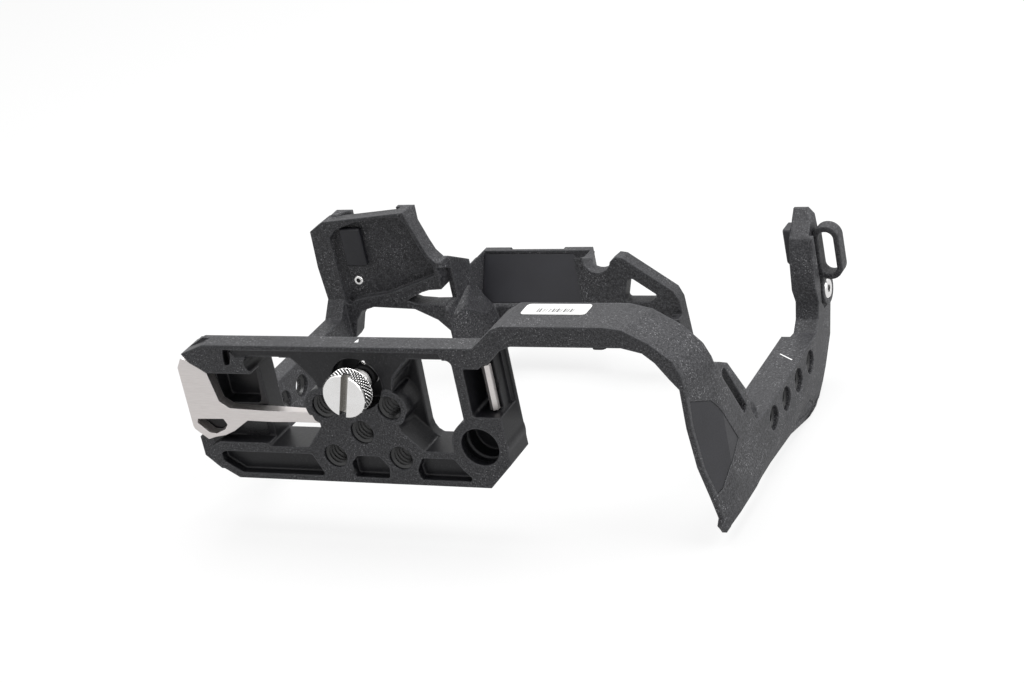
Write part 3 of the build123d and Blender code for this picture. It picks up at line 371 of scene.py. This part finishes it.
slots = {row["node"]: row["material_slot"] for row in frame["record"]["subparts"]}
for name, node in nodes.items():
    node.data.materials.clear()
    node.data.materials.append(MATERIALS[slots[name]])
# the ring behind the screw's head is made dark: painted shade under the head
nodes["screw_ring"].data.materials[0] = MATERIALS["dark_steel"]


# ---------------------------------------------------------------- mesh helpers
def tidy(mesh, flat_degrees):
    """Weld a mesh and, where an angle is given, turn its flat regions into single faces."""
    bm = bmesh.new()
    bm.from_mesh(mesh)
    bmesh.ops.remove_doubles(bm, verts=bm.verts, dist=WELD)
    bmesh.ops.dissolve_degenerate(bm, dist=SLIVER, edges=bm.edges)
    if flat_degrees:
        bmesh.ops.dissolve_limit(bm, angle_limit=math.radians(flat_degrees), verts=bm.verts, edges=bm.edges)
    bm.to_mesh(mesh)
    bm.free()


def shade(obj, sharp_degrees):
    """Smooth curved faces, keep flats flat and edges sharp."""
    for polygon in obj.data.polygons:
        polygon.use_smooth = True
    obj.data.set_sharp_from_angle(angle=math.radians(sharp_degrees))
    weighted = obj.modifiers.new("normals", "WEIGHTED_NORMAL")
    weighted.keep_sharp = True
    weighted.mode = "FACE_AREA"
    weighted.weight = 100


def linked(name, mesh):
    """A new object with a mesh, in the scene."""
    made = bpy.data.objects.new(name, mesh)
    bpy.context.scene.collection.objects.link(made)
    return made


def closed_mesh(name, verts, faces, triangles=False):
    """A mesh from points in millimetres, with its normals outwards."""
    mesh = bpy.data.meshes.new(name)
    mesh.from_pydata([tuple(c * MM for c in v) for v in verts], [], faces)
    bm = bmesh.new()
    bm.from_mesh(mesh)
    if triangles:
        bmesh.ops.triangulate(bm, faces=bm.faces)
    bmesh.ops.recalc_face_normals(bm, faces=bm.faces)
    bm.to_mesh(mesh)
    bm.free()
    return mesh


def copy_of(member, name):
    """A welded copy of a CAD node's mesh as a new object."""
    copy = linked(name, nodes[member].data.copy())
    tidy(copy.data, 0)
    return copy


def boolean(base, other, operation):
    """Combine two closed meshes. The other object is used up."""
    change = base.modifiers.new("boolean", "BOOLEAN")
    change.operation = operation
    change.solver = "EXACT"
    change.object = other
    graph = bpy.context.evaluated_depsgraph_get()
    mesh = bpy.data.meshes.new_from_object(base.evaluated_get(graph))
    base.modifiers.clear()
    base.data = mesh
    bpy.data.objects.remove(other)


def dress(obj, material, sharp_degrees):
    """Give a combined mesh its one material, clean faces and shading."""
    obj.data.materials.clear()
    obj.data.materials.append(material)
    tidy(obj.data, 0.4)
    shade(obj, sharp_degrees)


def new_piece(name, verts, faces, body, material, smooth=False):
    """A mesh piece from points in millimetres, riding on a body."""
    obj = linked(name, closed_mesh(name, verts, faces))
    obj.data.materials.append(material)
    for polygon in obj.data.polygons:
        polygon.use_smooth = smooth
    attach(obj, body)


def sweep_rings(rings):
    """Verts and faces of a closed tube through equal rings of points."""
    count = len(rings[0])
    verts = [p for ring in rings for p in ring]
    faces = []
    for i in range(len(rings) - 1):
        for j in range(count):
            k = (j + 1) % count
            faces.append((i * count + j, i * count + k, (i + 1) * count + k, (i + 1) * count + j))
    last = (len(rings) - 1) * count
    faces.append(tuple(range(count)))
    faces.append(tuple(last + j for j in reversed(range(count))))
    return verts, faces


def joined(parts):
    """Several verts and faces lists as one."""
    verts = []
    faces = []
    for part_verts, part_faces in parts:
        shift = len(verts)
        verts.extend(part_verts)
        faces.extend(tuple(shift + i for i in face) for face in part_faces)
    return verts, faces


def slab(corners, lift):
    """Verts and faces of a thin plate through corners, thickened by the vector lift."""
    top = [tuple(Vector(c) + Vector(lift)) for c in corners]
    return sweep_rings([list(corners), top])


def solid(name, rings, triangles=False):
    """A closed solid through rings of points, as an object to cut or add with."""
    return linked(name, closed_mesh(name, *sweep_rings(rings), triangles))


def across_y(name, outline, y_low, y_high):
    """A prism along Y from an outline of X and Z."""
    return solid(name, [[(x, y, z) for x, z in outline] for y in (y_low, y_high)])


def across_x(name, outline, x_low, x_high):
    """A prism along X from an outline of Y and Z."""
    return solid(name, [[(x, y, z) for y, z in outline] for x in (x_low, x_high)])


def circle(center_x, center_z, radius, count=64):
    """Points of X and Z on a circle."""
    points = []
    for i in range(count):
        angle = 2 * math.pi * i / count
        points.append((center_x + radius * math.cos(angle), center_z + radius * math.sin(angle)))
    return points


# ---------------------------------------------------------------- one seamless frame from its sections
SECTIONS = [
    "base_plate", "rear_arm", "palm_plate", "side_rail", "grip_finger",
    "left_strut", "left_shoulder", "hump_hood", "front_wing",
]
# the rest of the frame is worked on in this one object
frame_body = copy_of(SECTIONS[0], "frame_body")
for section in SECTIONS[1:]:
    boolean(frame_body, copy_of(section, section + "_copy"), "UNION")


def carve(cutter):
    """Cut a solid from the frame."""
    boolean(frame_body, cutter, "DIFFERENCE")


def carve_round_bosses(outline, y_high, boss_radius):
    """Cut a prism into the plate's outer face, but leave the bosses of the upper holes standing."""
    cutter = across_y("cutter", outline, BEFORE_PLATE, y_high)
    for x, z in BOSSES:
        boss = across_y("boss", circle(x, z, boss_radius), BEFORE_PLATE - 1, y_high + 1)
        boolean(cutter, boss, "DIFFERENCE")
    carve(cutter)


def left_window():
    """Open the left window as far as the upper left boss."""
    carve_round_bosses([
        (-22.0, 20.3), (-15.6, 20.3), (-14.2, 18.9), (-10.4, 14.2), (-9.3, 11.0), (-14.0, 5.2), (-23.6, 11.0),
        (-25.0, 15.0),
    ], BEHIND_PLATE, 5.0)


def right_window():
    """Make the right window a pocket round the boss, with a slot through its floor."""
    pocket_floor = 8.0
    carve(across_y("slot", [(15.3, 20.45), (22.0, 20.45), (22.0, 4.0), (14.8, 4.0)],
                   pocket_floor - 0.1, BEHIND_PLATE))
    carve_round_bosses([
        (12.9, 15.4), (20.5, 15.4), (21.0, 9.0), (16.0, 3.0), (11.6, 0.7), (10.4, 3.0), (10.6, 11.2),
        (11.8, 12.6),
    ], pocket_floor, 4.9)
    floor_plate = across_y("floor_plate", [
        (8.0, 20.55), (15.3, 20.55), (14.7, -0.9), (15.0, -2.5), (15.8, -3.9), (17.0, -4.7), (18.4, -5.0),
        (8.0, -5.0),
    ], pocket_floor, PLATE_BACK)
    boolean(frame_body, floor_plate, "UNION")
    for x, z in BOSSES:
        carve(across_y("bore", circle(x, z, BORE_RADIUS), BEFORE_PLATE - 0.5, BEHIND_PLATE + 0.5))


def sunk_field():
    """Sink the field above the bosses a little below the plate's outer face."""
    carve_round_bosses([
        (-33.0, 22.4), (26.2, 22.4), (27.4, 20.0), (16.5, 20.0), (12.0, 15.5), (11.0, 11.0), (4.0, 8.0),
        (-4.0, 8.0), (-9.3, 9.0), (-16.0, 12.0), (-17.0, 20.3), (-31.5, 20.3),
    ], 0.55, 5.0)


def finger_faces():
    """Lean the finger's upper face back to its tip, and slope its outer corner down to the lug's seat."""
    carve(across_x("lean", [
        (88.2, 11.3), (94.7, 17.0), (95.2, 19.0), (84.0, 19.0), (84.0, 11.3),
    ], 80.0, 95.0))
    carve(across_y("corner", [
        (88.2, 17.4), (89.7, 15.2), (89.7, 12.6), (93.0, 12.6), (93.0, 18.5), (88.2, 18.5),
    ], 84.0, 97.0))


def inlay_gap(room):
    """Widen the inlay's pocket in Y and Z, for the dark gap round it."""
    gap = copy_of("palm_inlay", "inlay_gap")
    for axis in (1, 2):
        values = [vertex.co[axis] for vertex in gap.data.vertices]
        middle = (min(values) + max(values)) / 2
        growth = 1 + 2 * room * MM / (max(values) - min(values))
        for vertex in gap.data.vertices:
            vertex.co[axis] = middle + (vertex.co[axis] - middle) * growth
    carve(gap)


# where the flank of rail and palm begins, and the frame's front edge beside it, as Y and Z
FLANK_BORDER = (
    (82.1, -6.5), (83.2, -12.1), (81.6, -15.5), (77.3, -18.8), (70.9, -20.9), (63.1, -22.2),
    (55.9, -22.6), (47.5, -22.2), (37.6, -21.9), (30.2, -23.7), (24.3, -26.1), (17.4, -27.2),
)
FLANK_EDGE = (
    (94.4, -14.4), (92.5, -18.2), (89.7, -21.5), (84.8, -24.3), (78.0, -27.2), (69.1, -28.4),
    (59.7, -28.2), (49.8, -27.2), (38.8, -26.3), (30.6, -27.0), (24.0, -26.9), (18.1, -27.3),
)


def flank(drop=1.0, overrun=0.3):
    """Let the side's outer face fall away by drop towards the front edge. The cutter runs on beyond it."""
    rings = []
    for (y, z), (edge_y, edge_z) in zip(FLANK_BORDER, FLANK_EDGE):
        far_y = edge_y + overrun * (edge_y - y)
        far_z = edge_z + overrun * (edge_z - z)
        rings.append([
            (SIDE_FACE + 0.02, y, z),
            (SIDE_FACE - drop * (1 + overrun), far_y, far_z),
            (BEYOND_SIDE, far_y, far_z),
            (BEYOND_SIDE, y, z),
        ])
    carve(solid("flank", rings, triangles=True))


def hood_dip():
    """Cut a shallow dip into the hood's upper edge."""
    carve(across_x("hood_dip", [(102.6, 2.6), (105.6, 0.8), (107.0, 2.5), (104.0, 4.5)], -4.8, 12.0))


left_window()
right_window()
sunk_field()
finger_faces()
inlay_gap(0.40)
flank()
hood_dip()
dress(frame_body, MATERIALS["black_anodised"], 32.0)
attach(frame_body, "frame")
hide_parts(*SECTIONS)

for name, node in nodes.items():
    if name not in SECTIONS and name != "camera_screw":
        for polygon in node.data.polygons:
            polygon.use_smooth = True


# ---------------------------------------------------------------- threads
def thread(origin, axis, length, wall, crest, steps=44, lead=0.35):
    """Verts and faces of a 60 degree thread ridge along an axis, from a wall radius to a crest radius."""
    axis = Vector(axis).normalized()
    side = axis.orthogonal().normalized()
    other = axis.cross(side)
    half_root = 0.44 * THREAD_PITCH
    half_crest = 0.07 * THREAD_PITCH
    turns = (length - 2 * lead - 2 * half_root) / THREAD_PITCH
    total = int(turns * steps)
    rings = []
    for i in range(total + 1):
        angle = 2 * math.pi * i / steps
        radial = side * math.cos(angle) + other * math.sin(angle)
        along = lead + half_root + THREAD_PITCH * i / steps
        fade = min(1.0, 4.0 * i / steps, 4.0 * (total - i) / steps)
        tip = wall + (crest - wall) * max(fade, 0.04)
        profile = ((wall, -half_root), (tip, -half_crest), (tip, half_crest), (wall, half_root))
        rings.append([tuple(Vector(origin) + radial * r + axis * (along + shift)) for r, shift in profile])
    return sweep_rings(rings)


def hole_threads():
    """Threads of the holes in the plate, the rail and the strut, as one piece."""
    parts = []
    for x, z in LOWER_HOLES + BOSSES:
        parts.append(thread((x, 0.0, z), (0, 1, 0), 10.7, HOLE_WALL, HOLE_CREST))
    for i in range(4):
        mouth = (SIDE_FACE, RAIL_HOLE_Y + RAIL_HOLE_PITCH * i, RAIL_HOLE_Z)
        parts.append(thread(mouth, (-1, 0, 0), 5.2, HOLE_WALL, HOLE_CREST))
    for i in range(2):
        mouth = (STRUT_FACE, STRUT_HOLE_Y + STRUT_HOLE_PITCH * i, STRUT_HOLE_Z)
        parts.append(thread(mouth, (-1, 0, 0), 3.6, HOLE_WALL, HOLE_CREST))
    verts, faces = joined(parts)
    new_piece("hole_threads", verts, faces, "frame", THREAD_BLACK)


hole_threads()

# ---------------------------------------------------------------- camera screw
HEAD_RADIUS = 6.01
SHANK_RADIUS = 2.55
CLEAR_RADIUS = 6.5  # outside the whole screw
KNURLS = 36
KNURL_RISE = 1.05  # along the axis from one ridge to the next
KNURL_DEPTH = 0.42
KNURL_INSET = 0.35  # plain rim at both ends of the head
KNURL_ROWS = 40


def knurl(angle, y):
    """Radius of the diamond knurl on the head's side."""
    across = KNURLS * angle / (2 * math.pi)
    along = y / KNURL_RISE
    first = across + along
    second = across - along
    ridge = min(abs(first - round(first)), abs(second - round(second))) * 2
    fade = min(1.0, (y - HEAD_FACE - KNURL_INSET) / 0.15, (HEAD_BACK - KNURL_INSET - y) / 0.15)
    return HEAD_RADIUS - KNURL_DEPTH * (1.0 - ridge) * max(0.0, fade)


def screw_mould():
    """The room that the finished screw takes: knurled round the head, and slim round the shank."""
    count = KNURLS * 10
    angles = [2 * math.pi * i / count for i in range(count)]
    knurl_start = HEAD_FACE + KNURL_INSET
    knurl_length = HEAD_BACK - KNURL_INSET - knurl_start
    rows = [(HEAD_FACE - 0.5, CLEAR_RADIUS), (HEAD_FACE + 0.3, HEAD_RADIUS + 0.01)]
    rows += [(knurl_start + knurl_length * i / KNURL_ROWS, None) for i in range(KNURL_ROWS + 1)]
    rows += [(HEAD_BACK - 0.3, HEAD_RADIUS + 0.01), (THREAD_START + 0.2, CLEAR_RADIUS),
             (THREAD_START + 0.25, SHANK_RADIUS), (THREAD_END + 0.5, SHANK_RADIUS)]
    rings = []
    for y, plain_radius in rows:
        ring = []
        for angle in angles:
            r = plain_radius or knurl(angle, y)
            ring.append((SCREW_X + r * math.cos(angle), y, SCREW_Z + r * math.sin(angle)))
        rings.append(ring)
    return solid("screw_mould", rings)


screw_body = copy_of("camera_screw", "screw_body")
boolean(screw_body, screw_mould(), "INTERSECT")
dress(screw_body, MATERIALS["nickel"], 30.0)
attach(screw_body, "screw")
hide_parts("camera_screw")
SHANK_WALL = 2.5
SHANK_CREST = 3.17
shank_length = THREAD_END - THREAD_START
# the shank's thread is dark steel: painted shade in the screw's recess
verts, faces = thread((SCREW_X, THREAD_START, SCREW_Z), (0, 1, 0), shank_length, SHANK_WALL, SHANK_CREST)
new_piece("screw_thread", verts, faces, "screw", MATERIALS["dark_steel"])


# ---------------------------------------------------------------- small fittings, marks and painted shade in sockets
def socket_shade_plug(name, base, axis, across, height):
    """A dark hexagonal plug that fills the bottom of a socket: painted shade in the socket."""
    axis = Vector(axis).normalized()
    side = axis.orthogonal().normalized()
    other = axis.cross(side)
    radius = across / math.sqrt(3)
    low = []
    for i in range(6):
        angle = math.pi * i / 3
        low.append(tuple(Vector(base) + (side * math.cos(angle) + other * math.sin(angle)) * radius))
    verts, faces = slab(low, axis * height)
    new_piece(name, verts, faces, "frame", MATERIALS["dark_steel"])


def painted_mark(name, corners, z, thickness=0.03):
    """A white mark on a face at height z, from corners of X and Y."""
    verts, faces = slab([(x, y, z) for x, y in corners], (0, 0, thickness))
    new_piece(name, verts, faces, "frame", WHITE_PAINT)


def label_bars(z=29.825, thickness=0.02, x_start=50.6, x_end=60.2, y_low=7.6, y_high=9.6):
    """Plain bars of random widths on the label, which say nothing."""
    dice = random.Random(7)
    bars = []
    x = x_start
    while x < x_end:
        width = dice.choice((0.16, 0.24, 0.36, 0.5))
        corners = [(x, y_low, z), (x + width, y_low, z), (x + width, y_high, z), (x, y_high, z)]
        bars.append(slab(corners, (0, 0, thickness)))
        x += width + dice.choice((0.22, 0.3, 0.46))
    verts, faces = joined(bars)
    new_piece("label_bars", verts, faces, "frame", PRINTED_BARS)


def ball(name, center, radius, rows=10, count=28):
    """A bright ball on the frame."""
    rings = []
    for i in range(1, rows):
        polar = math.pi * i / rows
        y = center[1] + radius * math.cos(polar)
        ring = []
        for j in range(count):
            angle = 2 * math.pi * j / count
            ring.append((center[0] + radius * math.sin(polar) * math.cos(angle), y,
                         center[2] + radius * math.sin(polar) * math.sin(angle)))
        rings.append(ring)
    verts, faces = sweep_rings(rings)
    new_piece(name, verts, faces, "frame", MATERIALS["nickel"], smooth=True)


# dark plugs at the bottoms of two hex sockets: painted shade
socket_shade_plug("lug_socket_shade", (90.22, 94.0, -5.4), (1, 0, 0), 2.2, 0.42)
socket_shade_plug("shoulder_socket_shade", (-42.3, 82.35, 3.0), (0, -1, 0), 1.5, 0.75)
painted_mark("index_triangle", [(2.4, 2.7), (3.5, 2.85), (2.7, 4.6)], LAND_Z)
painted_mark("index_line", [(84.8, 68.56), (89.06, 65.35), (89.26, 65.62), (85.0, 68.83)], -11.97)
label_bars()
# the ball sits in the wall of the screw's recess, clear of the head when that slides in
ball("detent_ball", (5.05, 1.3, 19.43), 0.9)


# ---------------------------------------------------------------- floor, world, lights and camera
def rays(tree, *kinds):
    """1 for rays of the named kinds, else 0."""
    path = tree.nodes.new("ShaderNodeLightPath")
    value = path.outputs[kinds[0]]
    for kind in kinds[1:]:
        larger = tree.nodes.new("ShaderNodeMath")
        larger.operation = "MAXIMUM"
        tree.links.new(value, larger.inputs[0])
        tree.links.new(path.outputs[kind], larger.inputs[1])
        value = larger.outputs["Value"]
    return value


def blended(tree, share, first, second, output):
    """Blend two shaders by a share and send them to an output."""
    blend = tree.nodes.new("ShaderNodeMixShader")
    tree.links.new(share, blend.inputs["Fac"])
    tree.links.new(first, blend.inputs[1])
    tree.links.new(second, blend.inputs[2])
    tree.links.new(blend.outputs["Shader"], output.inputs["Surface"])


def floor_paper(own_light=0.80, seen_level=1.0, mirrored_level=0.62):
    """White paper that keeps the object's shadow and hides its own edge in the white background."""
    paper = bpy.data.materials.new("floor_paper")
    paper.use_nodes = True
    tree = paper.node_tree
    tree.nodes.clear()
    diffuse = tree.nodes.new("ShaderNodeBsdfDiffuse")
    diffuse.inputs["Color"].default_value = (0.86, 0.86, 0.86, 1.0)
    glow = tree.nodes.new("ShaderNodeEmission")
    glow.inputs["Color"].default_value = (1.0, 1.0, 1.0, 1.0)
    level = tree.nodes.new("ShaderNodeMapRange")
    level.inputs["To Min"].default_value = mirrored_level
    level.inputs["To Max"].default_value = seen_level
    tree.links.new(rays(tree, "Is Camera Ray"), level.inputs["Value"])
    tree.links.new(level.outputs["Result"], glow.inputs["Strength"])
    share = tree.nodes.new("ShaderNodeMath")
    share.operation = "MULTIPLY"
    share.inputs[1].default_value = own_light
    tree.links.new(rays(tree, "Is Camera Ray", "Is Glossy Ray"), share.inputs[0])
    output = tree.nodes.new("ShaderNodeOutputMaterial")
    blended(tree, share.outputs["Value"], diffuse.outputs["BSDF"], glow.outputs["Emission"], output)
    return paper


def studio_world(soft_level=0.44, white_level=1.0):
    """Soft light all round, seen as pure white."""
    world = bpy.data.worlds.new("studio")
    bpy.context.scene.world = world
    world.use_nodes = True
    tree = world.node_tree
    tree.nodes.clear()
    backgrounds = []
    for strength in (soft_level, white_level):
        background = tree.nodes.new("ShaderNodeBackground")
        background.inputs["Color"].default_value = (1.0, 1.0, 1.0, 1.0)
        background.inputs["Strength"].default_value = strength
        backgrounds.append(background.outputs["Background"])
    seen = rays(tree, "Is Camera Ray", "Is Transmission Ray", "Is Glossy Ray")
    blended(tree, seen, *backgrounds, tree.nodes.new("ShaderNodeOutputWorld"))


def softbox(name, place, aim, size, power):
    """A square area light that looks from place to aim, in metres and watts."""
    light = bpy.data.lights.new(name, "AREA")
    light.size = size
    light.energy = power
    holder = bpy.data.objects.new(name, light)
    holder.location = place
    direction = Vector(aim) - Vector(place)
    holder.rotation_euler = direction.to_track_quat("-Z", "Y").to_euler()
    bpy.context.scene.collection.objects.link(holder)


# the photograph's camera, fitted to known corners of the cage: place in metres, angles in degrees
CAMERA_PLACE = (0.287609, -0.433846, 0.248852)
CAMERA_AZIMUTH = 29.02004
CAMERA_ELEVATION = 24.19712
CAMERA_ROLL = -12.07156
FOCAL_PIXELS = 2330.0
IMAGE_WIDTH = 1024.0
SENSOR_WIDTH = 36.0


def photo_camera():
    """The camera at the photograph's viewing angle."""
    data = bpy.data.cameras.new("camera")
    data.sensor_width = SENSOR_WIDTH
    data.lens = FOCAL_PIXELS * SENSOR_WIDTH / IMAGE_WIDTH
    data.clip_start = 0.01
    data.clip_end = 20.0
    camera = bpy.data.objects.new("camera", data)
    azimuth = Matrix.Rotation(math.radians(CAMERA_AZIMUTH), 4, "Z")
    tilt = Matrix.Rotation(math.radians(90.0 - CAMERA_ELEVATION), 4, "X")
    roll = Matrix.Rotation(math.radians(CAMERA_ROLL), 4, "Z")
    camera.matrix_world = Matrix.Translation(CAMERA_PLACE) @ azimuth @ tilt @ roll
    bpy.context.scene.collection.objects.link(camera)
    return camera


lowest_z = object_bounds()[0].z
bpy.ops.mesh.primitive_plane_add(size=12.0, location=(0.0, 0.0, lowest_z - 0.0002))
floor = bpy.context.object
floor.name = "floor"
floor.data.materials.append(floor_paper())

studio_world()
STUDIO_CENTER = (0.02, 0.04, 0.0)
softbox("top", (0.02, 0.15, 0.75), STUDIO_CENTER, 0.7, 6.2)
softbox("right", (0.75, 0.05, 0.50), STUDIO_CENTER, 0.5, 4.8)
bpy.context.scene.camera = photo_camera()
bpy.context.scene.view_settings.view_transform = "Standard"
